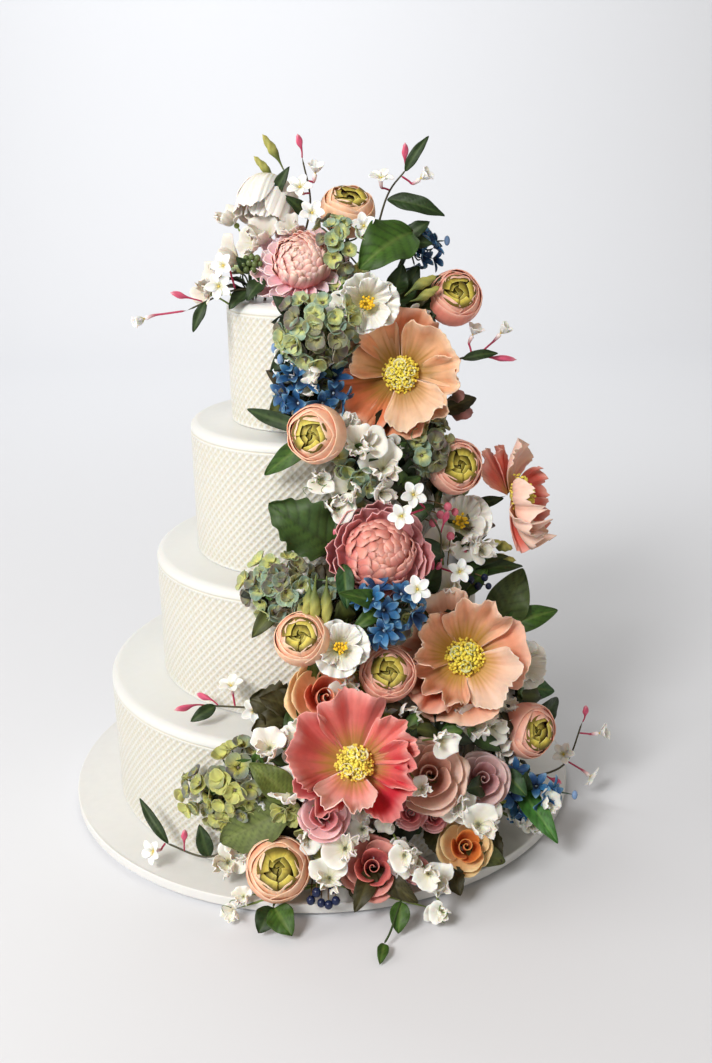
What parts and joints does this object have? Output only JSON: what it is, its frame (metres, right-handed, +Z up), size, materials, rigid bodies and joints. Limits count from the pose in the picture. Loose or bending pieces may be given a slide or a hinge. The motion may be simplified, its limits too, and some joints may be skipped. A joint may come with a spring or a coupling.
{
  "type": "tiered wedding cake",
  "caption": "Tiered round wedding cake on its cake board, in ivory icing pressed with a lattice, with a cascade of sugar flowers from the top tier down to the board.",
  "frame": {"origin": "centre of the cake board's underside", "axes": "+Z up along the tiers' common axis, -Y the front that the flowers run down, +X to the right seen from the front"},
  "size_m": [0.4295, 0.4603, 0.514],
  "materials": {
    "ivory": "rolled icing, dry satin, pressed lattice",
    "board": "rolled icing over board, dry satin",
    "peach": "sugar paste, dusted, matt",
    "rose_pink": "sugar paste, dusted, matt",
    "coral": "sugar paste, dusted, matt",
    "ranunculus": "sugar paste, dusted, matt",
    "pink": "sugar paste, dusted, matt",
    "dusty_pink": "sugar paste, dusted, matt",
    "apricot": "sugar paste, dusted, matt",
    "blush": "sugar paste, dusted, matt",
    "mauve": "sugar paste, dusted, matt",
    "amber": "sugar paste, dusted, matt",
    "white": "sugar paste, dusted, matt",
    "jasmine": "sugar paste, dusted, matt",
    "blue": "sugar paste, dusted, matt",
    "hydrangea": "sugar paste, dusted, matt",
    "olive": "sugar paste, dusted, matt",
    "leaf": "sugar paste, dusted, low sheen",
    "dark_leaf": "sugar paste, dusted, low sheen",
    "brown_leaf": "sugar paste, dusted, low sheen"
  },
  "bodies": {
    "root": {"cake_board": "board", "tier_bottom": "ivory", "tier_third": "ivory", "tier_second": "ivory", "tier_top": "ivory", "poppy_peach_upper": "peach", "poppy_peach_lower": "peach", "poppy_pink": "rose_pink", "poppy_coral": "coral", "ranunculus_top": "ranunculus", "ranunculus_top_right": "ranunculus", "ranunculus_upper_left": "ranunculus", "ranunculus_upper_right": "ranunculus", "ranunculus_middle_left": "ranunculus", "ranunculus_middle_right": "ranunculus", "ranunculus_lower_right": "ranunculus", "ranunculus_lower_left": "ranunculus", "peony_top": "pink", "peony_middle": "dusty_pink", "lisianthus_upper": "white", "lisianthus_middle": "white", "lisianthus_right": "white", "lisianthus_top": "white", "lisianthus_lower": "white", "rose_apricot": "apricot", "rose_small_pink": "pink", "rose_blush": "blush", "rose_mauve": "mauve", "rose_coral": "coral", "rose_amber": "amber", "leaf_top": "leaf", "leaf_middle": "dark_leaf", "leaves_right": "leaf", "leaf_lower_left": "leaf", "leaves_front": "leaf", "leaf_hanging": "leaf", "leaves_brown": "brown_leaf", "sweet_peas_top": "white", "sweet_peas_upper": "white", "sweet_peas_left": "white", "sweet_peas_front": "white", "sweet_peas_front_right": "white", "sweet_peas_right": "white", "jasmine_top_right": "jasmine", "jasmine_top_left": "jasmine", "jasmine_left": "jasmine", "jasmine_right": "jasmine", "jasmine_middle": "jasmine", "jasmine_middle_left": "jasmine", "jasmine_lower_left": "jasmine", "jasmine_lower_right": "jasmine", "blue_top": "blue", "blue_upper": "blue", "blue_middle": "blue", "blue_lower": "blue", "hydrangea_upper": "hydrangea", "hydrangea_crown": "hydrangea", "hydrangea_middle": "hydrangea", "hydrangea_lower": "olive", "hydrangea_right": "hydrangea"}
  },
  "joints": []
}
